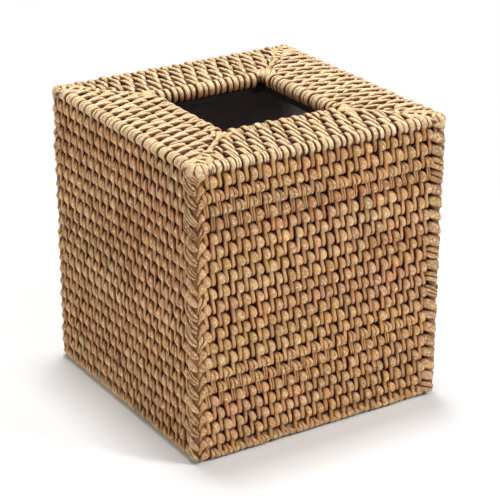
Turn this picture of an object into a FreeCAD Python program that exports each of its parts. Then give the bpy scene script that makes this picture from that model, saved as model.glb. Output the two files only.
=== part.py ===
import FreeCAD, Part
import math
import os

# A woven rattan cover that drops over an upright cube of tissues. Rods bound in cane make the
# frame: posts, top and bottom rails, a rim round the mouth and a strut on each mitre of the top.
# Flat ribs lie between the rods, columns of cane stitches cover the ribs, and thin dark boards
# line the inside. The bottom is open.
# Millimetres, +Z up, origin on the floor under the centre, front towards -Y.

Vector = FreeCAD.Vector
UP = Vector(0, 0, 1)

# Overall sizes
WIDTH = 140.0  # square plan, over the corner posts
HEIGHT = 147.0  # floor to the crests of the top rails
BORDER = 38.0  # width of the top, from its outside to the square mouth

# Rods, each over its binding
EDGE_ROD = 8.0  # corner posts, top rails and bottom rails
RIM_ROD = 7.4  # round the mouth
STRUT_ROD = 5.0  # from the mouth's corners to the top corners
POST_CHAMFER = 1.5  # softens the tops of the posts
ROD_SIDES = 12  # flats that the binding makes round a rod

# Wall, from the inside out
LINER = 3.0  # lining boards
RIB_DEPTH = 3.6
TAIL_DEPTH = 1.4  # a stitch where it tucks under the next one
KNOB_DEPTH = 3.4  # a stitch where it stands proudest
LAY = 0.2  # between pieces laid against each other
OVERRUN = 20.0  # of trimming shapes past what they trim

# Weave
ROW_PITCH = 7.2  # from one rib to the next
RIB_HEIGHT = 4.6
STRAND_PITCH = 3.85  # from one column of stitches to the next
STRAND_BACK = 0.8  # width of a column along its back
KNOB_RISE = 1.6  # from the start of a stitch to its proudest point
ROWS_PER_STITCH = 2

SIDES = ("front", "right", "back", "left")
CORNERS = ("front_right", "back_right", "back_left", "front_left")

# Lines that the pieces share, as distances from the centre or from the floor
mouth_half = WIDTH / 2 - BORDER
rod_line = WIDTH / 2 - EDGE_ROD / 2
field_half = WIDTH / 2 - EDGE_ROD - LAY
inside_half = field_half - LINER
rim_line = mouth_half + RIM_ROD / 2
rim_outside = mouth_half + RIM_ROD + LAY
strand_seat = LAY + RIB_DEPTH + LAY
strand_crest = strand_seat + KNOB_DEPTH
field_low = EDGE_ROD + LAY
field_high = HEIGHT - EDGE_ROD - LAY
strut_clear = math.sqrt(2) * (STRUT_ROD / 2 + LAY)


def prism(corners, along):
    """A flat outline pushed along a vector."""
    return Part.Face(Part.makePolygon(corners + corners[:1])).extrude(along)


def block(low, high):
    """A box between two opposite corners."""
    size = high - low
    return Part.makeBox(size.x, size.y, size.z, low)


def bound_rod(start, end, thickness):
    """A straight rod over its binding, with flats facing up, down and sideways."""
    along = end - start
    upright = abs(along.z) > abs(along.x) + abs(along.y)
    across = Vector(1, 0, 0) if upright else along.cross(UP).normalize()
    other = across.cross(along).normalize()
    turn = 2 * math.pi / ROD_SIDES
    reach = thickness / 2 / math.cos(turn / 2)
    corners = []
    for k in range(ROD_SIDES):
        angle = (k + 0.5) * turn
        corners.append(start + (across * math.cos(angle) + other * math.sin(angle)) * reach)
    return prism(corners, along)


def square_prism(half, low, high):
    """A square block centred on the origin."""
    return block(Vector(-half, -half, low), Vector(half, half, high))


def turned(shape, turns):
    """The front's piece carried round by quarter turns."""
    return shape.rotated(Vector(0, 0, 0), UP, 90.0 * turns)


def save(name, shape):
    """One file for each named piece."""
    shape.exportStep("parts/" + name + ".step")


def save_round(stem, front, names):
    """The same piece on all four sides, or at all four corners."""
    for k, name in enumerate(names):
        save(stem + "_" + name, turned(front, k))


def spread(low, high, pitch):
    """Centres of as many equal steps near the pitch as fit between two ends."""
    count = max(1, round((high - low) / pitch))
    step = (high - low) / count
    return [low + (k + 0.5) * step for k in range(count)], step


def quarter(clear):
    """The front quarter of the plan: a tall triangle that keeps clear of its two mitre lines."""
    reach = WIDTH / 2
    corners = [
        Vector(0, -clear, 0),
        Vector(clear - reach, -reach, 0),
        Vector(reach - clear, -reach, 0),
    ]
    return prism(corners, Vector(0, 0, HEIGHT + OVERRUN))


def column(low, high, row, step, first):
    """A column of stitches from high down to low, with its back on y = 0 and its face to -Y.

    Each stitch rises to a knob, then thins over its rows until the next one starts. The column
    widens with its depth, so a knob fills the room beside the neighbours' tails. Neighbours reach
    the middle depth side by side, and there they are LAY apart.
    """
    middle = (KNOB_DEPTH + TAIL_DEPTH) / 2
    rows = round((high - low) / row)
    face = []
    if first > 0:
        face.append((middle, high))
    for start in range(first, rows, ROWS_PER_STITCH):
        face.append((TAIL_DEPTH, high - start * row))
        face.append((KNOB_DEPTH, high - start * row - KNOB_RISE))
    whole = (rows - first) % ROWS_PER_STITCH == 0
    face.append((TAIL_DEPTH if whole else middle, low))
    outline = [(0, high)] + face + [(0, low)]
    half_back = STRAND_BACK / 2
    half_knob = half_back + (step - LAY - STRAND_BACK) / 2 * KNOB_DEPTH / middle
    profile = prism([Vector(-half_knob, -d, z) for d, z in outline], Vector(2 * half_knob, 0, 0))
    section = [
        Vector(-half_back, 0, low),
        Vector(half_back, 0, low),
        Vector(half_knob, -KNOB_DEPTH, low),
        Vector(-half_knob, -KNOB_DEPTH, low),
    ]
    return profile.common(prism(section, Vector(0, 0, high - low))).Solids[0]


def columns(low, high, row, half):
    """Columns side by side with their backs on y = 0, alternate ones a row apart."""
    places, step = spread(-half, half, STRAND_PITCH)
    kinds = [column(low, high, row, step, first) for first in range(ROWS_PER_STITCH)]
    return [kinds[k % ROWS_PER_STITCH].translated(Vector(x, 0, 0)) for k, x in enumerate(places)]


def frame_rods():
    """Posts, rails, rim and struts."""
    foot = Vector(rod_line, -rod_line, 0)
    post = bound_rod(foot, foot + UP * HEIGHT, EDGE_ROD)
    crown = [edge for edge in post.Edges if edge.BoundBox.ZMin > HEIGHT - POST_CHAMFER]
    save_round("corner_post", post.makeChamfer(POST_CHAMFER, crown), CORNERS)

    for stem, height in (("top_rail", HEIGHT - EDGE_ROD / 2), ("bottom_rail", EDGE_ROD / 2)):
        left = Vector(-field_half, -rod_line, height)
        right = Vector(field_half, -rod_line, height)
        save_round(stem, bound_rod(left, right, EDGE_ROD), SIDES)

    rim_height = field_high + LAY + RIM_ROD / 2
    reach = mouth_half + RIM_ROD
    left = Vector(-reach, -rim_line, rim_height)
    right = Vector(reach, -rim_line, rim_height)
    save_round("rim_rail", bound_rod(left, right, RIM_ROD).common(quarter(LAY)), SIDES)

    strut_height = field_high + strand_crest - STRUT_ROD / 2
    inner = Vector(rim_line, -rim_line, strut_height)
    outer = Vector(rod_line, -rod_line, strut_height)
    ring = square_prism(field_half, 0, HEIGHT).cut(square_prism(rim_outside, 0, HEIGHT))
    save_round("mitre_strut", bound_rod(inner, outer, STRUT_ROD).common(ring), CORNERS)


def lining():
    """Five boards: the sides stand on the floor, and the top lies on them with the mouth cut out."""
    underside = field_high - LINER
    for k, name in enumerate(SIDES):
        half = inside_half if k % 2 else field_half
        low = Vector(-half, -field_half, 0)
        save("liner_" + name, turned(block(low, Vector(half, -inside_half, underside)), k))
    mouth = square_prism(mouth_half, 0, HEIGHT)
    save("liner_top", square_prism(field_half, underside, field_high).cut(mouth))


def side_weave():
    """Ribs and columns of stitches on the four upright sides."""
    centres, row = spread(field_low, field_high, ROW_PITCH)
    back = -field_half - LAY
    ribs = []
    for z in centres:
        low = Vector(-field_half, back - RIB_DEPTH, z - RIB_HEIGHT / 2)
        ribs.append(block(low, Vector(field_half, back, z + RIB_HEIGHT / 2)))
    save_round("side_ribs", Part.makeCompound(ribs), SIDES)
    seat = Vector(0, -field_half - strand_seat, 0)
    stitches = [one.translated(seat) for one in columns(field_low, field_high, row, field_half)]
    save_round("side_strands", Part.makeCompound(stitches), SIDES)


def top_weave():
    """The same weave lying on the four mitred quarters of the top, with its knobs to the mouth."""
    area = quarter(strut_clear)
    centres, row = spread(rim_outside, field_half, ROW_PITCH)
    low = field_high + LAY
    ribs = []
    for y in centres:
        near = Vector(-field_half, -y - RIB_HEIGHT / 2, low)
        rib = block(near, Vector(field_half, -y + RIB_HEIGHT / 2, low + RIB_DEPTH))
        ribs.append(rib.common(area).Solids[0])
    save_round("top_ribs", Part.makeCompound(ribs), SIDES)
    half = field_half - strut_clear - STRAND_PITCH
    seat = Vector(0, 0, field_high + strand_seat)
    stitches = []
    for one in columns(-field_half, -rim_outside, row, half):
        flat = one.rotated(Vector(0, 0, 0), Vector(1, 0, 0), -90.0).translated(seat)
        stitches.extend(flat.common(area).Solids)
    save_round("top_strands", Part.makeCompound(stitches), SIDES)


os.makedirs("parts", exist_ok=True)
frame_rods()
lining()
side_weave()
top_weave()
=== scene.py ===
import math

import bpy
import numpy as np
from mathutils import Matrix, Vector


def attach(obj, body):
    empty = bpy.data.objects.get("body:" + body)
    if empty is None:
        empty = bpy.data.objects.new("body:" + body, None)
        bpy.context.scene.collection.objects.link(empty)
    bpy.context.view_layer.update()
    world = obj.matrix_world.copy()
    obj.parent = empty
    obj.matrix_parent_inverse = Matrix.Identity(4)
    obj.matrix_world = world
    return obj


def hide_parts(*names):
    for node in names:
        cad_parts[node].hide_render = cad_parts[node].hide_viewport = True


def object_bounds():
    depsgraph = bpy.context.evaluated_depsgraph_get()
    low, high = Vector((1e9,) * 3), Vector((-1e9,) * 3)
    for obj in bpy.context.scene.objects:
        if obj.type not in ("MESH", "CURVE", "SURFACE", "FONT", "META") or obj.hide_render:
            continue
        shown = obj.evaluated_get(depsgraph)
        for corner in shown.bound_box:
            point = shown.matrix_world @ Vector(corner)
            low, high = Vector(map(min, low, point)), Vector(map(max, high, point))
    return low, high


# The looks of the woven cane cover: every stitch is a strand of its own, laid on a rounded crest
# surface, with round rods under it and dark boards inside. Lengths are millimetres until a mesh is
# made. The floor, the lamps and the camera are in metres.

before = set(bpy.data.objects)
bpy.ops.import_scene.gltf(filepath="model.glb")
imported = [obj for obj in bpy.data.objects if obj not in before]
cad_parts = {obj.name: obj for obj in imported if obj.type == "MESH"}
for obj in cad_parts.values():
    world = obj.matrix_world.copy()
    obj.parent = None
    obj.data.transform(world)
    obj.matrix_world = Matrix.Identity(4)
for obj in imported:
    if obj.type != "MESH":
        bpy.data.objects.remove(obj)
cad_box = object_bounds()
SEED = 11
chance = np.random.default_rng(SEED)

MM = 0.001
SIDES = ("front", "right", "back", "left")
CORNERS = ("front_right", "back_right", "back_left", "front_left")

# Crest surface of the weave
SINK = 0.5  # of the crests under the outside of the solids
CREST = cad_box[1][0] / MM - SINK  # half of the width
TOP = cad_box[1][2] / MM - SINK
ROUND = 4.2  # of the outer edges
RIM_LINE = 33.8  # from the centre to the middle of the rim
RIM_ROUND = 4.3
FOOT = 0.2  # of the bottom edge over the floor
RIM_WRAP = 11.0  # from the rim's top round its inside and down
FOOT_WRAP = 5.6  # round the bottom edge

# Weave
TOP_RIBS = 3
SIDE_RIBS = 20
FIRST_ROW = 1.2  # from the top rail's lower side to the first row of knobs
COLUMNS = 36
COLUMN_STEP = 3.47
COLUMN_SHIFT = -2.1  # the field starts nearer to its left corner than to its right one
EXTRA_COLUMNS = 2  # on the top and the top rail, past the field's right end
MITRE_CLEAR = 1.9  # between a diagonal of the top and the columns that end at it

# Lines across the top and places along the crest line, which starts at the rim's top
edge_line = CREST - ROUND
mitre_in = math.sqrt(2) * RIM_LINE
mitre_out = math.sqrt(2) * edge_line
flat_top = edge_line - RIM_LINE
over_rail = flat_top + ROUND * math.pi / 2
down_side = over_rail + TOP - FOOT - 2 * ROUND
top_step = flat_top / (TOP_RIBS + 1)
side_step = (down_side - over_rail) / (SIDE_RIBS + 1)
rail_row = TOP_RIBS + 1
foot_row = rail_row + SIDE_RIBS + 1
top_rows = [top_step * (k + 0.5) for k in range(TOP_RIBS + 1)]
side_rows = np.linspace(over_rail + FIRST_ROW, down_side - side_step / 2, SIDE_RIBS + 1).tolist()
row_ends = [-RIM_WRAP, *top_rows, *side_rows, down_side + FOOT_WRAP]

# A stitch along its two rows. Each line is a place along it, then its half width, its depth under the
# crest surface and its crown. On a side it comes out from under its left neighbour and bends down into
# a knob, so there it also has an offset across. On the top it is a long float, and on the rods a wrap.
PLACE = np.array([
    0.06, 0.13, 0.20, 0.28, 0.36, 0.46, 0.58, 0.70, 0.79,
    0.85, 0.91, 0.99, 1.22, 1.50, 1.75, 1.90, 2.01, 2.10,
])
KNOB = np.array([
    (0.70, 3.20, 0.70, -1.70),
    (0.98, 2.20, 0.85, -1.35),
    (1.35, 1.40, 1.10, -0.92),
    (1.72, 0.80, 1.40, -0.46),
    (2.02, 0.40, 1.65, -0.08),
    (2.20, 0.12, 1.85, 0.22),
    (2.28, 0.00, 1.95, 0.42),
    (2.26, 0.02, 1.95, 0.44),
    (2.10, 0.18, 1.80, 0.34),
    (1.84, 0.50, 1.55, 0.18),
    (1.48, 1.00, 1.25, 0.00),
    (1.24, 1.28, 1.05, -0.10),
    (1.22, 1.05, 1.00, 0.02),
    (1.22, 0.82, 1.00, 0.26),
    (1.20, 0.90, 1.00, 0.50),
    (1.14, 1.20, 0.95, 0.65),
    (1.04, 1.90, 0.85, 0.75),
    (0.92, 3.20, 0.70, 0.80),
])
FLOAT = np.array([
    (0.73, 2.60, 0.70),
    (0.85, 1.70, 0.75),
    (1.01, 1.00, 0.80),
    (1.15, 0.58, 0.85),
    (1.25, 0.30, 0.90),
    (1.32, 0.12, 0.95),
    (1.34, 0.02, 0.95),
    (1.34, 0.00, 0.95),
    (1.32, 0.04, 0.95),
    (1.28, 0.08, 0.95),
    (1.25, 0.12, 0.95),
    (1.20, 0.20, 0.90),
    (1.10, 0.36, 0.90),
    (1.04, 0.52, 0.85),
    (0.98, 0.78, 0.85),
    (0.89, 1.30, 0.80),
    (0.81, 2.00, 0.75),
    (0.73, 2.80, 0.70),
])
WRAP = np.array([
    (1.50, 2.00, 0.70),
    (1.85, 0.90, 0.75),
    (2.02, 0.35, 0.80),
    (2.10, 0.10, 0.85),
    (2.12, 0.02, 0.90),
    (2.12, 0.00, 0.90),
    (2.12, 0.00, 0.90),
    (2.10, 0.02, 0.90),
    (2.04, 0.12, 0.85),
    (1.82, 0.40, 0.85),
    (1.50, 0.75, 0.80),
    (1.28, 0.85, 0.80),
    (1.24, 0.50, 0.80),
    (1.22, 0.42, 0.80),
    (1.20, 0.48, 0.80),
    (1.12, 0.90, 0.75),
    (1.02, 1.70, 0.70),
    (0.90, 2.60, 0.70),
])
BEND_STEPS = 29
BEND_PLACES = np.union1d(PLACE, np.linspace(PLACE[0], PLACE[-1], BEND_STEPS))  # for going round a rod

# Where floats turn into wraps and wraps into knobs along the crest line
FLOAT_FADE = 3.0
SIDE_FADE = 1.5
WRAP_EARLY = 0.5  # whole wraps start and end this much before the rail's curve
rail_zone = [flat_top - FLOAT_FADE, flat_top - WRAP_EARLY, over_rail - WRAP_EARLY, over_rail + SIDE_FADE]
RIM_ZONE = [1.0, 4.0]  # where the rim's wraps turn into floats
WRAP_SLIMMEST = 1.25  # half widths that the wraps keep to
RIM_WIDEST = 1.48
RAIL_WIDEST = 1.55

# Section of a strand: across, height over its edges, and fall under them
RING = 10
FULLNESS = 0.8  # under 1 makes the crown fuller than a half circle
UNDER = 0.7
FIBRE_RANGE = 500  # over which strands take their places in the grain
ring_turn = np.arange(RING) * 2 * math.pi / RING
ring_across = np.cos(ring_turn)
ring_top = np.clip(np.sin(ring_turn), 0, None) ** FULLNESS
ring_under = np.clip(-np.sin(ring_turn), 0, None)

# Colours of cane, linear, and how often each is laced
STRAW = (0.88, 0.77, 0.50)
PALE = (0.74, 0.485, 0.228)
HONEY = (0.66, 0.388, 0.154)
PINK = (0.63, 0.355, 0.170)
OLIVE = (0.58, 0.375, 0.126)
GREY = (0.56, 0.358, 0.164)
BROWN = (0.52, 0.27, 0.095)
CANES = np.array([PALE, HONEY, PINK, OLIVE, GREY, BROWN])
CANE_SHARES = (0.20, 0.43, 0.12, 0.06, 0.08, 0.11)
LIT_PALING_SHARES = {"rim": 0.2, "top": 0.5}  # towards straw, painted light: paler where the top and the rim are lit
TINT_SPREAD = 0.09
DARKEST, LIGHTEST = 0.02, 0.95


def section(s):
    """Crest line from the rim's inside, over the top and down the side: out, up and its normal."""
    rim = np.clip(-s / RIM_ROUND, 0, math.pi / 2)
    hang = np.clip(-s - RIM_ROUND * math.pi / 2, 0, None)
    rail = np.clip((s - flat_top) / ROUND, 0, math.pi / 2)
    foot = np.clip((s - down_side) / ROUND, 0, None)
    out = RIM_LINE - RIM_ROUND * np.sin(rim) + np.clip(s, 0, flat_top)
    out = out + ROUND * np.sin(rail) - ROUND * (1 - np.cos(foot))
    up = TOP - RIM_ROUND * (1 - np.cos(rim)) - ROUND * (1 - np.cos(rail)) - hang
    up = up - (np.clip(s, over_rail, down_side) - over_rail) - ROUND * np.sin(foot)
    turn = rail + foot - rim
    return out, up, np.sin(turn), np.cos(turn)


def on_side(x, s, deep):
    """A place on the front quarter, from the mouth to the foot."""
    out, up, face, lift = section(s)
    return np.stack([x, -(out - deep * face), up - deep * lift], -1)


def on_corner(u, s, deep):
    """A place at the front right corner, with u running round it from the front to the right."""
    out, up, face, lift = section(s)
    bend = ROUND * math.pi / 4
    near = np.clip(u, -bend, bend)
    turn = near / ROUND - math.pi / 4
    reach = out - edge_line - deep * face
    x = edge_line + reach * np.cos(turn) + np.minimum(u - near, 0)
    y = reach * np.sin(turn) - edge_line + np.maximum(u - near, 0)
    return np.stack([x, y, up - deep * lift], -1)


def on_mitre(w, m, deep):
    """A place on the diagonal of the front right corner, m from the centre and w to its side."""
    rim = np.clip((mitre_in - m) / RIM_ROUND, 0, math.pi / 2)
    hang = np.clip(mitre_in - m - RIM_ROUND * math.pi / 2, 0, None)
    over = np.clip((m - mitre_out) / ROUND, 0, None)
    along = np.clip(m, mitre_in, mitre_out)
    along = along + (ROUND - deep) * np.sin(over) - (RIM_ROUND - deep) * np.sin(rim)
    up = TOP - ROUND * (1 - np.cos(over)) - RIM_ROUND * (1 - np.cos(rim)) - hang
    up = up - deep * np.cos(over) * np.cos(rim)
    share = math.sqrt(0.5)
    return np.stack([(along + w) * share, (w - along) * share, up], -1)


class Strands:
    """A mesh of strands that grows one by one, with the data that the cane material reads."""

    def __init__(self):
        self.points = []
        self.faces = []
        self.tint = []
        self.fibre = []
        self.painted_light_cues = []
        self.count = 0

    def add(self, place, path, half, deep, crown, tint, lean=0.0):
        """One strand along a path on the flat sheet that place lays on the object."""
        ahead = np.gradient(path, axis=0)
        run = np.linalg.norm(ahead, axis=1, keepdims=True)
        ahead = ahead / run
        offset = half[:, None] * ring_across
        a = path[:, 0, None] + ahead[:, 1, None] * offset
        b = path[:, 1, None] - ahead[:, 0, None] * offset
        depth = deep[:, None] + crown[:, None] * (1 - ring_top) + UNDER * ring_under + lean * offset
        self.put(place(a, b, depth), offset, np.cumsum(run), depth, tint)

    def put(self, rings, across, along, depth, tint):
        """Rings of points joined into a closed tube."""
        n = len(rings)
        index = self.count + np.arange(n * RING).reshape(n, RING)
        beside = np.roll(index, -1, 1)
        quads = np.stack([index[:-1], beside[:-1], beside[1:], index[1:]], -1).reshape(-1, 4)
        self.faces += quads.tolist()
        self.faces += [index[0, ::-1].tolist(), index[-1].tolist()]
        self.points.append(rings.reshape(-1, 3))
        seed = np.full((n, RING), chance.uniform(0, FIBRE_RANGE))
        length = np.repeat(along.reshape(-1, 1), RING, 1)
        self.fibre.append(np.stack([across, length, seed], -1).reshape(-1, 3))
        # place across each strand and depth under the crest, which the cane material turns into painted
        # shade and painted highlight
        edge = np.repeat(np.abs(ring_across)[None], n, 0)
        self.painted_light_cues.append(np.stack([edge, depth, np.zeros_like(edge)], -1).reshape(-1, 3))
        self.tint.append(np.repeat(np.array([[*tint, 1.0]]), n * RING, 0))
        self.count += n * RING

    def piece(self, name, material, turns, nodes, slot):
        """The finished mesh, carried round by quarter turns, in place of CAD nodes."""
        mesh = bpy.data.meshes.new(name)
        mesh.from_pydata((np.concatenate(self.points) * MM).tolist(), [], self.faces)
        for label, kind, key, values in (
            ("tint", "FLOAT_COLOR", "color", self.tint),
            ("fibre", "FLOAT_VECTOR", "vector", self.fibre),
            ("painted_light_cues", "FLOAT_VECTOR", "vector", self.painted_light_cues),
        ):
            layer = mesh.attributes.new(label, kind, "POINT")
            layer.data.foreach_set(key, np.concatenate(values).astype(np.float32).ravel())
        mesh.transform(Matrix.Rotation(turns * math.pi / 2, 4, "Z"))
        mesh.shade_smooth()
        mesh.update()
        mesh.materials.append(material)
        made = bpy.data.objects.new(name, mesh)
        bpy.context.scene.collection.objects.link(made)
        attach(made, "root")
        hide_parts(*nodes)


def shade(tint, spread=TINT_SPREAD):
    """A tint with a little of a strand's own lightness and warmth."""
    light = chance.normal(1.0, spread)
    warm = chance.normal(0.0, spread / 3)
    own = np.array(tint) * light * (1 + np.array([warm, 0, -warm]))
    return np.clip(own, DARKEST, LIGHTEST)


def lit_paler(tint, home):
    """A tint made paler towards straw, as painted light where the top is lit."""
    share = LIT_PALING_SHARES.get(home, 0.0)
    return np.array(tint) + share * (np.array(STRAW) - np.array(tint))


# Hand work: how far rows and columns wander, and the lengths of cane that lace a row
ROW_DRIFT = 0.32
COLUMN_SWAY = 0.18
COLUMN_SPREAD = 0.10
WAVE_SPANS = (14, 30)
SECOND_WAVE_SHARE = 0.6
CANE_SHORTEST, CANE_LONGEST = 40, 110
SPLIT_SHARE = 0.16  # of the lengths of cane, split into two


def lots(length):
    """Stretches of a row, each laced with one length of cane of its own colour."""
    found = []
    at = -length / 2 - chance.uniform(0, CANE_SHORTEST)
    while at < length / 2:
        at += chance.uniform(CANE_SHORTEST, CANE_LONGEST)
        tint = CANES[chance.choice(len(CANES), p=CANE_SHARES)]
        found.append({"end": at, "tint": tint, "split": chance.random() < SPLIT_SHARE})
    return found


def wave(size):
    """A slow drift along a line, as hand work has."""
    phases = chance.uniform(0, 2 * math.pi, 2)
    spans = chance.uniform(*WAVE_SPANS, 2)

    def at(x):
        first, second = (math.sin(x / span + phase) for span, phase in zip(spans, phases))
        return size * (first + SECOND_WAVE_SHARE * second)

    return at


def profile(share, s):
    """Half width, depth, crown and offset along a stitch.

    It is a knob on a side, a float on the top and a wrap on a rod.
    """
    knob, lying, wrap = (
        np.stack([np.interp(share, PLACE, column) for column in table.T], -1)
        for table in (KNOB, FLOAT, WRAP)
    )
    bound = np.interp(s, rail_zone, [0, 1, 1, 0]) + np.interp(s, RIM_ZONE, [1, 0])
    top = np.interp(s, rail_zone[:2], [1, 0]) * (1 - bound)
    side = 1 - bound - top
    mix = knob[:, :3] * side[:, None] + lying * top[:, None] + wrap * bound[:, None]
    slim = np.clip(mix[:, 0], WRAP_SLIMMEST, np.where(s < flat_top / 2, RIM_WIDEST, RAIL_WIDEST))
    half = mix[:, 0] + (slim - mix[:, 0]) * bound
    return half, mix[:, 1], mix[:, 2], knob[:, 3] * side


# One stitch: where its knob and its ends lie along it, and how far stitches differ from each other
KNOB_SHARE = 0.6
KNOB_REACH_SHARE = 0.4
TAIL_SHARE = 0.15  # of a row, that a tail runs past its last row
CUT_SHARE = 0.08  # of a stitch that dives under the mitre or the rim
CUT_DEPTH = 2.2
GIRTH_SPREAD = 0.05
KNOB_SPREAD = 0.07
BIG_KNOB_CHANCE = 0.05
BIG_KNOB = 0.22
KNOB_LIFT = 0.16
TAIL_LIFT = 0.12
SLANT = 0.20
BOW = 0.12
LEAN = 0.10
SPLIT_OFFSET_SHARE = 0.52
SPLIT_WIDTH_SHARE = 0.54
SPLIT_CROWN_SHARE = 0.7
SPLIT_SINK = 0.1


def stitch(strands, x, ends, first, last, cane):
    """One stitch from its knob on a row to the tail that tucks in after the next row."""
    bent = ends[0] < RIM_ZONE[1] or ends[0] < over_rail < ends[2] or ends[2] > down_side
    share = BEND_PLACES if bent else PLACE
    share = share[(share >= first) & (share <= last + TAIL_SHARE)]
    s = np.interp(share, [0, 1, 2, 3], [*ends, 2 * ends[2] - ends[1]])
    half, deep, crown, across = profile(share, s)
    knob = np.clip(1 - np.abs(share - KNOB_SHARE) / KNOB_REACH_SHARE, 0, 1)
    tail = np.clip(share - 1, 0, 1)
    big = chance.normal(0, KNOB_SPREAD) + (BIG_KNOB if chance.random() < BIG_KNOB_CHANCE else 0)
    half = half * chance.normal(1.0, GIRTH_SPREAD) * (1 + big * knob)
    deep = deep + chance.normal(0, KNOB_LIFT) * knob + chance.normal(0, TAIL_LIFT) * tail
    if first > 0:
        deep = deep + CUT_DEPTH * np.exp(-(share - share[0]) / CUT_SHARE)
    across = x + across + chance.normal(0, SLANT) * (share - 1)
    across = across + chance.normal(0, BOW) * np.cos(share * math.pi)
    path = np.stack([across, s], -1)
    lean = chance.normal(0, LEAN)
    if not cane["split"]:
        strands.add(on_side, path, half, deep, crown, shade(cane["tint"]), lean)
        return
    for side in (-1, 1):
        beside = path + np.stack([side * SPLIT_OFFSET_SHARE * half, np.zeros_like(half)], -1)
        wide, high = half * SPLIT_WIDTH_SHARE, crown * SPLIT_CROWN_SHARE
        strands.add(on_side, beside, wide, deep + SPLIT_SINK, high, shade(cane["tint"]), lean)


def home_of(row):
    """The piece that a row of stitches belongs to."""
    if row <= 0:
        return "rim"
    if row < rail_row:
        return "top"
    if row == rail_row:
        return "edge"
    return "side" if row < foot_row - 1 else "foot"


def mitre_start(x):
    """Where a column comes out from under the mitre."""
    reach = abs(x) + MITRE_CLEAR
    if reach > RIM_LINE:
        return reach - RIM_LINE
    if reach > RIM_LINE - RIM_ROUND:
        return -RIM_ROUND * math.asin((RIM_LINE - reach) / RIM_ROUND)
    return -RIM_WRAP


# Ends of the columns: at the foot, and at the mitres
FOOT_START = 1.4  # from the start of the added foot stitches to the end of the side
SHORTEST_STITCH = 5.0
CUT_KNOB_SHARE = 0.55  # past which a knob that the mitre cuts is left out
CUT_FIRST_SHARE = 0.95


def weave_quarter():
    """All stitches of one side and of its quarter of the top, kept by the piece they belong to."""
    parts = {name: Strands() for name in ("rim", "top", "edge", "side", "foot")}
    drift = [wave(ROW_DRIFT) for _ in row_ends]
    sway = [wave(COLUMN_SWAY) for _ in range(COLUMNS + EXTRA_COLUMNS)]
    for row in range(-1, foot_row + 1):
        lengths = lots(2 * CREST)
        count = COLUMNS + EXTRA_COLUMNS if row <= rail_row else COLUMNS
        for column in range(row % 2, count, 1 if row == foot_row else 2):
            x = (column - (COLUMNS - 1) / 2) * COLUMN_STEP + COLUMN_SHIFT
            ends = []
            for k in range(row, row + 3):
                k_in = min(max(k, 0), len(row_ends) - 1)
                loose = drift[k_in](x) if rail_row < k_in < foot_row else 0.0
                ends.append(row_ends[k_in] + loose)
            if row == foot_row and (column - row) % 2:
                ends[0] = down_side - FOOT_START
            first = 1.0 if row < 0 else 0.0
            last = 1.0 if row == foot_row else 2.0
            clear = mitre_start(x)
            if ends[2] < clear + SHORTEST_STITCH:
                continue
            if clear > ends[0] + CUT_KNOB_SHARE * (ends[1] - ends[0]):
                first = CUT_FIRST_SHARE
                ends[1] = clear
            else:
                ends[0] = max(ends[0], clear)
            cane = next((lot for lot in lengths if x < lot["end"]), lengths[-1])
            # painted light: stitches of the top and the rim paler, where they are lit
            cane = dict(cane, tint=lit_paler(cane["tint"], home_of(row)))
            at_x = x + chance.normal(0, COLUMN_SPREAD) + sway[column](ends[0])
            stitch(parts[home_of(row)], at_x, ends, first, last, cane)
    return parts


# Arms of the corner plait: place along the arm, half width, depth and crown. A left arm is a long leaf.
# A right arm starts as a knob of the field and ends as a tail.
LEAF = np.array([
    (0.00, 1.20, 3.6, 0.6),
    (0.06, 1.80, 2.2, 0.8),
    (0.13, 2.25, 1.2, 0.9),
    (0.22, 2.55, 0.5, 1.0),
    (0.34, 2.65, 0.1, 1.1),
    (0.48, 2.60, -0.1, 1.1),
    (0.62, 2.35, -0.1, 1.1),
    (0.75, 2.00, 0.0, 1.0),
    (0.86, 1.60, 0.3, 0.9),
    (0.94, 1.25, 0.9, 0.8),
    (1.00, 1.00, 2.0, 0.6),
])
HOOK = np.array([
    (0.00, 1.10, 3.4, 0.8),
    (0.07, 1.70, 1.9, 1.2),
    (0.15, 2.20, 0.8, 1.6),
    (0.24, 2.50, 0.2, 1.8),
    (0.34, 2.50, 0.0, 1.9),
    (0.44, 2.20, 0.1, 1.7),
    (0.53, 1.70, 0.5, 1.3),
    (0.63, 1.30, 0.9, 1.0),
    (0.76, 1.15, 0.9, 0.9),
    (0.90, 1.05, 1.1, 0.8),
    (1.00, 0.90, 2.2, 0.7),
])

# From where to where an arm runs, round the corner and down it, and how often it is 1, 2 or 3 strips
LEFT_ARM = {
    "form": LEAF,
    # painted shade: the left arms darker than their cane
    "shade_tint_share": 0.84,
    "begin": -10.2,
    "begin_spread": 0.4,
    "end": 1.3,
    "drop": 0.0,
    "fall": 5.2,
    "fall_spread": 0.5,
    "lean": 0.22,
}
RIGHT_ARM = {
    "form": HOOK,
    "shade_tint_share": 1.0,
    "begin": 5.2,
    "begin_spread": 0.3,
    "end": 0.2,
    "drop": 1.0,
    "fall": 9.4,
    "fall_spread": 0.4,
    "lean": 0.0,
}
LEFT_STRIP_SHARES = (0.75, 0.20, 0.05)
FRAYED_STRIP_SHARES = (0.25, 0.40, 0.35)  # at the near corner
RIGHT_STRIP_SHARES = (0.8, 0.2, 0.0)
FIRST_ARM_SHARE = -0.35  # of a row, from the top rail's lower side
ARM_BOW = 0.3
ARM_BEND = 1.3  # over 1 makes an arm start level and end steep
ARM_GIRTH_SPREAD = 0.06
ARM_LIFT = 0.2
ARM_TINT_SPREAD = 0.07
STRIP_LIFT = 0.08
STRIP_WIDTH_SHARE = 0.94
STRIP_CROWN_SHARE = 0.7
PROUDEST = 0.4

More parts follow.
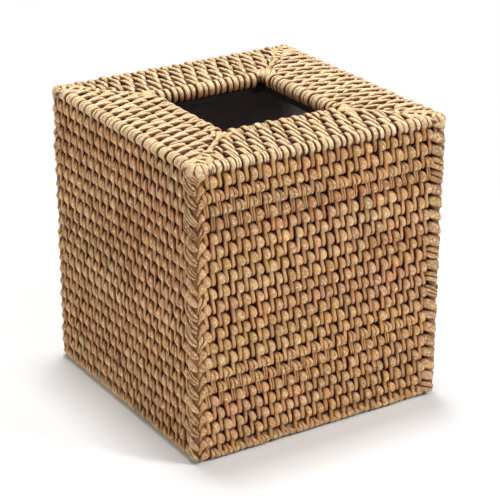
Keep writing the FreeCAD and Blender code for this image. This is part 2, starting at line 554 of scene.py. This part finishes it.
# Knuckle over the plait: place round the corner, half width and length of its wraps
KNUCKLE = ((-3.4, 2.2, 15.0), (1.5, 2.7, 12.5))
KNUCKLE_START = 3.5  # before the rail
KNUCKLE_LEAN = 0.8
KNUCKLE_DEPTH = 2.6
KNUCKLE_RISE = 2.8
KNUCKLE_FULLNESS = 0.35
KNUCKLE_END_SHARE = 0.35  # of its half width, at its ends
KNUCKLE_CROWNS = (0.5, 1.0)  # at its ends and in its middle
KNUCKLE_POINTS = 21
KNUCKLE_TINT_SPREAD = 0.02
POST_RADII = (2.9, 2.9)
POST_HEAD = 3.0  # under the top
POST_FOOT = 3.5
POST_SUNK = 2.0


def arm(strands, begin, end, form, strips, tint, lean):
    """One arm of the plait, from beside the field to the line where the arms meet."""
    share, half = form[:, 0], form[:, 1] * chance.normal(1.0, ARM_GIRTH_SPREAD)
    u = begin[0] + (end[0] - begin[0]) * share
    s = begin[1] + (end[1] - begin[1]) * share ** ARM_BEND
    path = np.stack([u, s + chance.normal(0, ARM_BOW) * np.sin(share * math.pi)], -1)
    ahead = np.gradient(path, axis=0)
    ahead = ahead / np.linalg.norm(ahead, axis=1, keepdims=True)
    aside = np.stack([ahead[:, 1], -ahead[:, 0]], -1)
    deep = form[:, 2] + chance.normal(0, ARM_LIFT)
    for k in range(strips):
        offset = half * ((2 * k + 1) / strips - 1)
        strip = path + aside * offset[:, None]
        strip[:, 1] = np.clip(strip[:, 1], flat_top, down_side + FOOT_WRAP)
        crown = form[:, 3] * (1 if strips == 1 else STRIP_CROWN_SHARE)
        sunk = np.maximum(deep + lean * offset, -PROUDEST) + chance.normal(0, STRIP_LIFT)
        wide = half / strips * (1 if strips == 1 else STRIP_WIDTH_SHARE)
        strands.add(on_corner, strip, wide, sunk, crown, shade(tint, ARM_TINT_SPREAD), lean)


def plait_corner(left_strip_shares):
    """Two families of arms that meet in a V down the corner, under a knuckle at the top."""
    strands = Strands()
    for row in range(SIDE_RIBS + 2):
        s = over_rail + side_step * (row + FIRST_ARM_SHARE)
        for kind, shares in ((LEFT_ARM, left_strip_shares), (RIGHT_ARM, RIGHT_STRIP_SHARES)):
            tint = kind["shade_tint_share"] * CANES[chance.choice(len(CANES), p=CANE_SHARES)]
            begin = (kind["begin"] + chance.normal(0, kind["begin_spread"]), s + kind["drop"])
            strips = chance.choice([1, 2, 3], p=shares)
            end = (kind["end"], s + kind["fall"] + chance.normal(0, kind["fall_spread"]))
            arm(strands, begin, end, kind["form"], strips, tint, kind["lean"])
    share = np.linspace(0, 1, KNUCKLE_POINTS)
    lift = np.sin(share * math.pi)
    deep = KNUCKLE_DEPTH - KNUCKLE_RISE * lift ** KNUCKLE_FULLNESS
    crown = np.interp(lift, [0, 1], KNUCKLE_CROWNS)
    for u, wide, length in KNUCKLE:
        path = np.stack([u + KNUCKLE_LEAN * share, flat_top - KNUCKLE_START + length * share], -1)
        half = wide * (KNUCKLE_END_SHARE + (1 - KNUCKLE_END_SHARE) * np.sqrt(lift))
        strands.add(on_corner, path, half, deep, crown, shade(PALE, KNUCKLE_TINT_SPREAD))
    head = (edge_line, -edge_line, TOP - POST_HEAD)
    foot = (edge_line, -edge_line, FOOT + POST_FOOT)
    rod(strands, head, foot, POST_RADII, shade(HONEY), POST_SUNK)
    return strands


# Band on a diagonal of the top
BAND_CROWN = 0.8
BAND_START = 4.0  # inside the middle of the rim
BAND_END_SHARE = 0.6  # of the edge's round that the band goes over
ROPE_SHARE = 0.62  # of the band that the two winding strands cover
ROPE_POINTS = 40
ROPE_PITCH = 2.6  # of the band for each radian that they wind
ROPE_HALF = 0.95
ROPE_SWELL = 0.15
ROPE_SWING = 0.6
ROPE_SPREAD = 0.1
ROPE_DEPTH = 1.0
ROPE_DIP = 0.3
ROPE_TUCK = 2.0  # of its ends into the weave
ROPE_END_SHARE = 0.08
SHORT_POINTS = 12
SHORT_FULLNESS = 0.4
FILLERS = ((1.8, 3.6, 22), (2.8, 5.8, 17))  # to the side at the start and at the end, and length
FILLER_END = 1.0
FILLER_FORM = (0.9, 0.8, 2.5, 1.7)  # half width at the ends, its swell, depth at the ends, its rise
CROSSINGS = 5
CROSSING_START = 4.5
CROSSING_STEP = 4.3
CROSSING_LENGTH = 6.4
CROSSING_SLANT = 2.4
CROSSING_FORM = (0.7, 0.6, 2.4, 2.0)
HONEY_CROSSING = 2
MOUTH_WRAPS = (-4.0, -1.3, 1.3, 4.0)  # places to the side, over the mouth's corner
MOUTH_WRAP_START = 5.0
MOUTH_WRAP_LENGTH = 14.5
MOUTH_WRAP_FORM = (0.8, 0.7, 2.2, 1.8)
MOUTH_WRAP_END_SHARE = 0.6  # of its place to the side, at its ends
STRUT_RADII = (2.6, 2.0)
STRUT_DEPTH = 4.6
STRUT_START = 1.0  # from the middle of the rim


def plait_mitre():
    """The band on a diagonal of the top, over the strut that carries it.

    Two thin strands wind along it from the mouth, short ones cross it near the corner, fillers lie
    on both sides and wraps go over the mouth's corner.
    """
    strands = Strands()
    share = np.linspace(0, 1, SHORT_POINTS)
    lift = np.sin(share * math.pi)

    def lay(path, half, deep, tint):
        strands.add(on_mitre, path, half, deep, np.full(len(path), BAND_CROWN), shade(tint))

    def lay_short(path, form, tint):
        slim, swell, deep, rise = form
        lay(path, slim + swell * lift, deep - rise * lift ** SHORT_FULLNESS, tint)

    begin = mitre_in - BAND_START
    end = mitre_out + ROUND * BAND_END_SHARE
    rope = np.linspace(0, 1, ROPE_POINTS)
    m = begin + ROPE_SHARE * (end - begin) * rope
    tuck = np.clip(1 - np.minimum(rope, 1 - rope) / ROPE_END_SHARE, 0, 1)
    # painted light: the band's strands paler, as the lit top's
    for phase, tint in ((0.0, HONEY), (math.pi, PALE)):
        turn = m / ROPE_PITCH + phase
        w = ROPE_SWING * np.sin(turn) + chance.normal(0, ROPE_SPREAD, ROPE_POINTS)
        half = ROPE_HALF + ROPE_SWELL * np.cos(turn)
        deep = ROPE_DEPTH + ROPE_DIP * np.cos(turn) + ROPE_TUCK * tuck
        lay(np.stack([w, m], -1), half, deep, lit_paler(tint, "top"))
    for side in (-1, 1):
        for near, far, length in FILLERS:
            w = side * (near + (far - near) * share)
            path = np.stack([w, end - FILLER_END - length * (1 - share)], -1)
            lay_short(path, FILLER_FORM, lit_paler(PALE, "top"))
    for k in range(CROSSINGS):
        slant = CROSSING_SLANT if k % 2 else -CROSSING_SLANT
        m = end - CROSSING_START - CROSSING_STEP * k + slant * (share - 0.5)
        path = np.stack([CROSSING_LENGTH * (share - 0.5), m], -1)
        tint = HONEY if k == HONEY_CROSSING else PALE
        lay_short(path, CROSSING_FORM, lit_paler(tint, "top"))
    m = mitre_in + MOUTH_WRAP_START - MOUTH_WRAP_LENGTH * share
    gather = MOUTH_WRAP_END_SHARE + (1 - MOUTH_WRAP_END_SHARE) * lift
    for w in MOUTH_WRAPS:
        lay_short(np.stack([w * gather, m], -1), MOUTH_WRAP_FORM, lit_paler(PALE, "rim"))
    inner, height = RIM_LINE + STRUT_START, TOP - STRUT_DEPTH
    rod(strands, (inner, -inner, height), (edge_line, -edge_line, height), STRUT_RADII, shade(BROWN))
    return strands


# Rods under the stitches, with level and upright radii
ROD_RINGS = 25
ROD_SUNK = 2.6  # depth that the cane material shades a rod by
ROD_SWELL = 0.03
ROD_SWELLS = 19  # radians of swelling along a rod
ROD_PHASE = 6  # radians over which the swelling starts
SIDE_ROD_SHORT = 5.5  # from its end to the crest surface of the next side
SIDE_ROD_DEPTH = 5.4  # from its middle to the crest surface
SIDE_ROD_RADII = (2.0, 2.9)
TOP_ROD_DEPTH = 5.5
TOP_ROD_RADII = (3.2, 2.0)
RAIL_RADII = (2.4, 2.4)
FOOT_RADII = (2.5, 2.5)
FOOT_SUNK = 2.2
RIM_RADII = (2.7, 2.7)
RIM_SHORT = 6.0  # from the end of the rim's core to the corner where two rims meet


def rod(strands, begin, end, radii, tint, sunk=ROD_SUNK):
    """An oval rod whose girth varies a little, as cane does."""
    share = np.linspace(0, 1, ROD_RINGS)
    begin, end = np.array(begin), np.array(end)
    middle = begin + (end - begin) * share[:, None]
    along = (end - begin) / np.linalg.norm(end - begin)
    level = np.cross(along, (0.0, 0.0, 1.0)) if abs(along[2]) < 0.5 else np.array([1.0, 0.0, 0.0])
    upright = np.cross(along, level)
    girth = 1 + ROD_SWELL * np.sin(share * ROD_SWELLS + chance.uniform(0, ROD_PHASE))
    ring = ring_across[None, :, None] * level * radii[0]
    ring = ring + np.sin(ring_turn)[None, :, None] * upright * radii[1]
    rings = middle[:, None] + girth[:, None, None] * ring
    length = share * np.linalg.norm(end - begin)
    across = radii[0] * girth[:, None] * ring_across
    strands.put(rings, across, length, np.full((ROD_RINGS, RING), sunk), tint)


def level_rod(strands, half, line, height, radii, tint, sunk=ROD_SUNK):
    """A rod that lies level along the front, half its length to each side."""
    rod(strands, (-half, -line, height), (half, -line, height), radii, tint, sunk)


def rods():
    """Ribs under the stitches and the cores of the rails and the rim, for one quarter."""
    parts = {name: Strands() for name in ("side", "top", "edge", "foot", "rim")}
    half, line = CREST - SIDE_ROD_SHORT, CREST - SIDE_ROD_DEPTH
    for k in range(SIDE_RIBS):
        z = TOP - ROUND + over_rail - (side_rows[k] + side_rows[k + 1]) / 2
        level_rod(parts["side"], half, line, z, SIDE_ROD_RADII, shade(BROWN))
    for k in range(TOP_RIBS):
        y = RIM_LINE + top_step * (k + 1)
        # painted light: the top's rods pale, and paler where the top is lit, to lighten the gaps between
        # the floats
        level_rod(parts["top"], y, y, TOP - TOP_ROD_DEPTH, TOP_ROD_RADII, shade(lit_paler(PALE, "top")))
    level_rod(parts["edge"], edge_line, edge_line, TOP - ROUND, RAIL_RADII, shade(BROWN))
    level_rod(parts["foot"], edge_line, edge_line, FOOT + ROUND, FOOT_RADII, shade(HONEY), FOOT_SUNK)
    level_rod(parts["rim"], RIM_LINE - RIM_SHORT, RIM_LINE, TOP - RIM_ROUND, RIM_RADII, shade(BROWN))
    return parts


class Tree:
    """Short forms for building a node material."""

    def __init__(self, name):
        self.material = bpy.data.materials.new(name)
        self.material.use_nodes = True
        self.nodes = self.material.node_tree.nodes
        self.links = self.material.node_tree.links
        self.shader = self.nodes["Principled BSDF"]

    def new(self, kind, **settings):
        node = self.nodes.new(kind)
        for key, value in settings.items():
            setattr(node, key, value)
        return node

    def feed(self, socket, source):
        if isinstance(source, bpy.types.NodeSocket):
            self.links.new(source, socket)
        else:
            socket.default_value = source

    def maths(self, operation, a, b=0.0):
        node = self.new("ShaderNodeMath", operation=operation)
        self.feed(node.inputs[0], a)
        self.feed(node.inputs[1], b)
        return node.outputs[0]

    def fit(self, value, low, high, to_low=0.0, to_high=1.0):
        node = self.new("ShaderNodeMapRange", interpolation_type="SMOOTHSTEP")
        for socket, source in zip(node.inputs, (value, low, high, to_low, to_high)):
            self.feed(socket, source)
        return node.outputs[0]

    def blend(self, kind, share, a, b):
        node = self.new("ShaderNodeMix", data_type="RGBA", blend_type=kind)
        self.feed(node.inputs[0], share)
        self.feed(node.inputs[6], a)
        self.feed(node.inputs[7], b)
        return node.outputs[2]

    def noise(self, vector, stretch, scale, detail=3.0):
        move = self.new("ShaderNodeVectorMath", operation="MULTIPLY")
        self.feed(move.inputs[0], vector)
        move.inputs[1].default_value = stretch
        node = self.new("ShaderNodeTexNoise")
        self.feed(node.inputs["Vector"], move.outputs[0])
        node.inputs["Scale"].default_value = scale
        node.inputs["Detail"].default_value = detail
        return node.outputs["Fac"]

    def data(self, name, output):
        return self.new("ShaderNodeAttribute", attribute_name=name).outputs[output]

    def split(self, vector):
        node = self.new("ShaderNodeSeparateXYZ")
        self.feed(node.inputs[0], vector)
        return node.outputs

    def bump(self, height, strength, distance):
        node = self.new("ShaderNodeBump")
        node.inputs["Strength"].default_value = strength
        node.inputs["Distance"].default_value = distance
        self.feed(node.inputs["Height"], height)
        self.feed(self.shader.inputs["Normal"], node.outputs[0])


# Coats on the cane's tint, linear
STAIN = (0.50, 0.27, 0.12, 1)
BLOOM = (0.80, 0.64, 0.42, 1)
STREAK = (0.62, 0.46, 0.32, 1)
FIBRE = (0.70, 0.58, 0.46, 1)
# painted highlight: pale specks on the crowns of the strands
CROWN_HIGHLIGHT = (0.86, 0.70, 0.46, 1)
SPECK = (0.62, 0.45, 0.30, 1)
# painted shade: darker where a strand falls away under its crest
SLOPE_SHADE = (0.72, 0.58, 0.44, 1)
# painted shade: darker at the edges of each strand, less on the lit top
EDGE_SHADE = (0.45, 0.24, 0.11, 1)
# painted shade: near black in the hollows, deep under the crests
HOLLOW_SHADE = (0.082, 0.025, 0.008, 1)
# painted shade: darker and redder inside the mouth
MOUTH_SHADE = (0.62, 0.40, 0.28, 1)

# How dark the painted shade in the hollows gets, and the depth of the grain
CANE_HOLLOW_SHADE = 0.9
RIB_HOLLOW_SHADE = 0.85
CANE_GRAIN = 0.25

# Heights under the top and distances from the rim's middle, where the painted light and shade on the cane
# change
LIGHT_LOW, LIGHT_HIGH = 7.0, 3.0  # painted light: paler above, where the top is lit, with lighter painted shade in the hollows
TOP_LIGHT_PAINT_SHARE = 0.5
TOP_SHADE_SHARE = 0.82  # of the painted shade in the hollows and at the edges, left on the lit top
RED_LOW, RED_HIGH = 7.0, 1.5  # painted shade: darker and redder inside the mouth, under the rim
RED_OUT, RED_IN = 0.5, 2.5
MOUTH_SHADE_SHARE = 0.9

# Darker and lighter colour of the lining's sides, lighter than the dark board as painted light where
# little light gets in, and of its top, near black as painted shade that hides its lit edge
LIT_LINING_COLOURS = ((0.26, 0.215, 0.210, 1), (0.29, 0.240, 0.234, 1))
SHADED_LID_COLOURS = ((0.013, 0.011, 0.011, 1), (0.017, 0.014, 0.014, 1))
BOARD_GRAIN = 0.2


def cane_material(name, hollow_shade_share):
    """Split cane: fibres along each strand and blotches, with painted light: a highlight on the crowns, a
    paler lit top, and shade on the slopes, at the edges, in the hollows and inside the mouth.
    """
    tree = Tree(name)
    fibre = tree.data("fibre", "Vector")
    edge, deep, _ = tree.split(tree.data("painted_light_cues", "Vector"))
    x, y, z = tree.split(tree.new("ShaderNodeTexCoord").outputs["Object"])
    streak = tree.noise(fibre, (3.2, 0.16, 1.0), 1.0)
    fine = tree.noise(fibre, (9.0, 0.5, 1.0), 1.0, 2.0)
    blotch = tree.noise(fibre, (0.35, 0.16, 1.0), 1.0)
    speck = tree.noise(fibre, (1.1, 0.8, 1.0), 1.0, 2.0)

    light = ((TOP - LIGHT_LOW) * MM, (TOP - LIGHT_HIGH) * MM)
    painted_top_light = tree.fit(z, *light, 0.0, TOP_LIGHT_PAINT_SHARE)
    top_shade_scale = tree.fit(z, *light, 1.0, TOP_SHADE_SHARE)
    crest = tree.fit(deep, 1.1, 0.3, 0.0, 0.7)
    reach = tree.maths("MAXIMUM", tree.maths("ABSOLUTE", x), tree.maths("ABSOLUTE", y))
    mouth = tree.fit(reach, (RIM_LINE + RED_OUT) * MM, (RIM_LINE - RED_IN) * MM)
    under = tree.fit(z, (TOP - RED_HIGH) * MM, (TOP - RED_LOW) * MM, 0.0, MOUTH_SHADE_SHARE)

    colour = tree.data("tint", "Color")
    for kind, share, coat in (
        # painted light: paler towards straw near the top, where it is lit
        ("MIX", painted_top_light, (*STRAW, 1)),
        ("MIX", tree.fit(blotch, 0.52, 0.75, 0.0, 0.55), STAIN),
        ("MIX", tree.fit(blotch, 0.45, 0.30, 0.0, 0.45), BLOOM),
        ("MULTIPLY", tree.fit(streak, 0.62, 0.40, 0.0, 0.45), STREAK),
        ("MULTIPLY", tree.fit(fine, 0.60, 0.40, 0.0, 0.30), FIBRE),
        # painted highlight: pale specks on the crowns
        ("MIX", tree.maths("MULTIPLY", crest, tree.fit(speck, 0.53, 0.66)), CROWN_HIGHLIGHT),
        ("MULTIPLY", tree.fit(speck, 0.48, 0.34, 0.0, 0.5), SPECK),
        # painted shade: darker where a strand falls away under its crest
        ("MULTIPLY", tree.fit(deep, 0.5, 1.4, 0.0, 0.6), SLOPE_SHADE),
        # painted shade: darker at the edges of each strand, less on the lit top
        ("MULTIPLY", tree.maths("MULTIPLY", top_shade_scale, tree.fit(edge, 0.52, 1.0, 0.0, 0.95)), EDGE_SHADE),
        # painted shade: near black in the hollows, less on the lit top
        ("MIX", tree.maths("MULTIPLY", top_shade_scale, tree.fit(deep, 1.0, 2.5, 0.0, hollow_shade_share)), HOLLOW_SHADE),
        # painted shade: darker and redder inside the mouth, under the rim
        ("MULTIPLY", tree.maths("MULTIPLY", mouth, under), MOUTH_SHADE),
    ):
        colour = tree.blend(kind, share, colour, coat)
    tree.feed(tree.shader.inputs["Base Color"], colour)
    tree.feed(tree.shader.inputs["Roughness"], tree.fit(streak, 0.3, 0.7, 0.52, 0.34))
    tree.shader.inputs["Specular IOR Level"].default_value = 0.45
    tree.bump(tree.maths("ADD", streak, tree.maths("MULTIPLY", fine, 0.5)), 0.5, CANE_GRAIN * MM)
    return tree.material


def lining_material(name, dark, light):
    """Dark board with a faint cloudy surface."""
    tree = Tree(name)
    place = tree.new("ShaderNodeTexCoord").outputs["Object"]
    cloud = tree.noise(place, (1.0, 1.0, 1.0), 90.0)
    grain = tree.noise(place, (1.0, 1.0, 0.2), 1400.0)
    colour = tree.blend("MIX", tree.fit(cloud, 0.3, 0.7), dark, light)
    tree.feed(tree.shader.inputs["Base Color"], colour)
    tree.feed(tree.shader.inputs["Roughness"], tree.fit(grain, 0.3, 0.7, 0.75, 0.95))
    tree.shader.inputs["Specular IOR Level"].default_value = 0.2
    tree.bump(grain, 0.3, BOARD_GRAIN * MM)
    return tree.material


def build():
    """All pieces of the cover."""
    cane = cane_material("split_cane", CANE_HOLLOW_SHADE)
    core = cane_material("rib_cane", RIB_HOLLOW_SHADE)
    # painted light: the side boards lighter than the dark board is
    lining = lining_material("lining", *LIT_LINING_COLOURS)
    # painted shade: the top board near black
    shaded_lid = lining_material("lining_top", *SHADED_LID_COLOURS)
    rails = {"edge": "top_rail_", "foot": "bottom_rail_", "rim": "rim_rail_"}
    for turns, side in enumerate(SIDES):
        parts = weave_quarter()
        under = rods()
        for home, node in rails.items():
            parts[home].piece("cane_" + home + "_" + side, cane, turns, [node + side], "bound_rod")
        parts["side"].piece("cane_side_" + side, cane, turns, ["side_strands_" + side], "side_cane")
        parts["top"].piece("cane_top_" + side, cane, turns, ["top_strands_" + side], "top_cane")
        under["side"].piece("ribs_side_" + side, core, turns, ["side_ribs_" + side], "rib_cane")
        under["top"].piece("ribs_top_" + side, core, turns, ["top_ribs_" + side], "rib_cane")
        for home in rails:
            under[home].piece("core_" + home + "_" + side, core, turns, [], "bound_rod")
    for turns, corner in enumerate(CORNERS):
        shares = FRAYED_STRIP_SHARES if corner == "front_left" else LEFT_STRIP_SHARES
        plait_corner(shares).piece("plait_" + corner, cane, turns, ["corner_post_" + corner], "bound_rod")
        plait_mitre().piece("mitre_" + corner, cane, turns, ["mitre_strut_" + corner], "bound_rod")
    for name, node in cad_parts.items():
        if name.startswith("liner"):
            node.data.materials.clear()
            node.data.materials.append(shaded_lid if name == "liner_top" else lining)


# Stage, in metres and watts
FLOOR_REACH = 6.0
GLOW_START, GLOW_WHOLE = 0.13, 0.33  # from the centre of the floor
WHITE = (1.0, 1.0, 1.0, 1)
PAPER_COLOURS = ((0.86, 0.86, 0.86, 1), (0.88, 0.88, 0.88, 1))
WORLD_LIGHT = 0.28
LAMPS = (  # name, place, aim, size and power
    ("key", (0.02, 0.18, 1.25), (0, 0, 0.08), 0.35, 12.9),
    ("right", (0.85, -0.95, 1.05), (0, 0, 0.07), 0.4, 15.2),
    ("left", (-1.2, -0.5, 0.7), (0, 0, 0.07), 0.5, 4.5),
)

# Camera, fitted to the corners of the cover in the photograph
CAMERA_TURN = math.radians(-32.38)
CAMERA_RISE = math.radians(23.02)
CAMERA_ROLL = math.radians(0.162)
CAMERA_AWAY = 0.8766
CAMERA_TARGET = Vector((-0.00454, -0.01214, 0.0735))
SENSOR = 36.0  # millimetres, as the lens
LENS = 129.9


def floor_material():
    """White paper that keeps the shadow and shows white where nothing shades it."""
    tree = Tree("floor")
    place = tree.new("ShaderNodeTexCoord").outputs["Object"]
    cloud = tree.noise(place, (1.0, 1.0, 1.0), 8.0)
    colour = tree.blend("MIX", tree.fit(cloud, 0.3, 0.7), *PAPER_COLOURS)
    tree.feed(tree.shader.inputs["Base Color"], colour)
    tree.shader.inputs["Roughness"].default_value = 0.9
    glow = tree.new("ShaderNodeEmission")
    path = tree.new("ShaderNodeLightPath")
    seen = tree.maths("MAXIMUM", path.outputs["Is Camera Ray"], path.outputs["Is Glossy Ray"])
    seen = tree.maths("MAXIMUM", seen, path.outputs["Is Transmission Ray"])
    away = tree.new("ShaderNodeVectorMath", operation="LENGTH")
    tree.feed(away.inputs[0], place)
    far = tree.fit(away.outputs["Value"], GLOW_START, GLOW_WHOLE)
    mix = tree.new("ShaderNodeMixShader")
    tree.feed(mix.inputs[0], tree.maths("MULTIPLY", seen, far))
    tree.feed(mix.inputs[1], tree.shader.outputs[0])
    tree.feed(mix.inputs[2], glow.outputs[0])
    tree.feed(tree.nodes["Material Output"].inputs[0], mix.outputs[0])
    return tree.material


def lay_floor():
    """A wide white floor under the cover."""
    mesh = bpy.data.meshes.new("floor")
    corners = [(x * FLOOR_REACH, y * FLOOR_REACH, 0) for x, y in ((-1, -1), (1, -1), (1, 1), (-1, 1))]
    mesh.from_pydata(corners, [], [(0, 1, 2, 3)])
    mesh.materials.append(floor_material())
    floor = bpy.data.objects.new("floor", mesh)
    bpy.context.scene.collection.objects.link(floor)


def light_world():
    """A soft even light, seen as white."""
    world = bpy.data.worlds.new("studio")
    bpy.context.scene.world = world
    world.use_nodes = True
    nodes, links = world.node_tree.nodes, world.node_tree.links
    soft = nodes["Background"]
    soft.inputs[0].default_value = WHITE
    soft.inputs[1].default_value = WORLD_LIGHT
    white = nodes.new("ShaderNodeBackground")
    white.inputs[0].default_value = WHITE
    path = nodes.new("ShaderNodeLightPath")
    mix = nodes.new("ShaderNodeMixShader")
    seen = nodes.new("ShaderNodeMath")
    seen.operation = "MAXIMUM"
    links.new(path.outputs["Is Camera Ray"], seen.inputs[0])
    links.new(path.outputs["Is Transmission Ray"], seen.inputs[1])
    links.new(seen.outputs[0], mix.inputs[0])
    links.new(soft.outputs[0], mix.inputs[1])
    links.new(white.outputs[0], mix.inputs[2])
    links.new(mix.outputs[0], nodes["World Output"].inputs[0])


def lamp(name, place, aim, size, power):
    """A square soft lamp."""
    light = bpy.data.lights.new(name, "AREA")
    light.size = size
    light.energy = power
    made = bpy.data.objects.new(name, light)
    made.location = place
    made.rotation_euler = (Vector(aim) - Vector(place)).to_track_quat("-Z", "Y").to_euler()
    bpy.context.scene.collection.objects.link(made)


def place_camera():
    """The photograph's view."""
    level = math.cos(CAMERA_RISE)
    back = Vector((math.sin(CAMERA_TURN) * level, -math.cos(CAMERA_TURN) * level, math.sin(CAMERA_RISE)))
    right = Vector((math.cos(CAMERA_TURN), math.sin(CAMERA_TURN), 0.0))
    up = back.cross(right)
    x_axis = math.cos(CAMERA_ROLL) * right + math.sin(CAMERA_ROLL) * up
    y_axis = math.cos(CAMERA_ROLL) * up - math.sin(CAMERA_ROLL) * right
    data = bpy.data.cameras.new("camera")
    data.sensor_width = SENSOR
    data.lens = LENS
    data.dof.use_dof = False
    camera = bpy.data.objects.new("camera", data)
    camera.matrix_world = Matrix((
        (x_axis.x, y_axis.x, back.x, CAMERA_TARGET.x + back.x * CAMERA_AWAY),
        (x_axis.y, y_axis.y, back.y, CAMERA_TARGET.y + back.y * CAMERA_AWAY),
        (x_axis.z, y_axis.z, back.z, CAMERA_TARGET.z + back.z * CAMERA_AWAY),
        (0, 0, 0, 1),
    ))
    bpy.context.scene.collection.objects.link(camera)
    bpy.context.scene.camera = camera


def stage():
    """Floor, world, lamps and camera."""
    lay_floor()
    light_world()
    for values in LAMPS:
        lamp(*values)
    place_camera()
    bpy.context.scene.view_settings.view_transform = "Standard"


build()
stage()
bpy.context.view_layer.update()
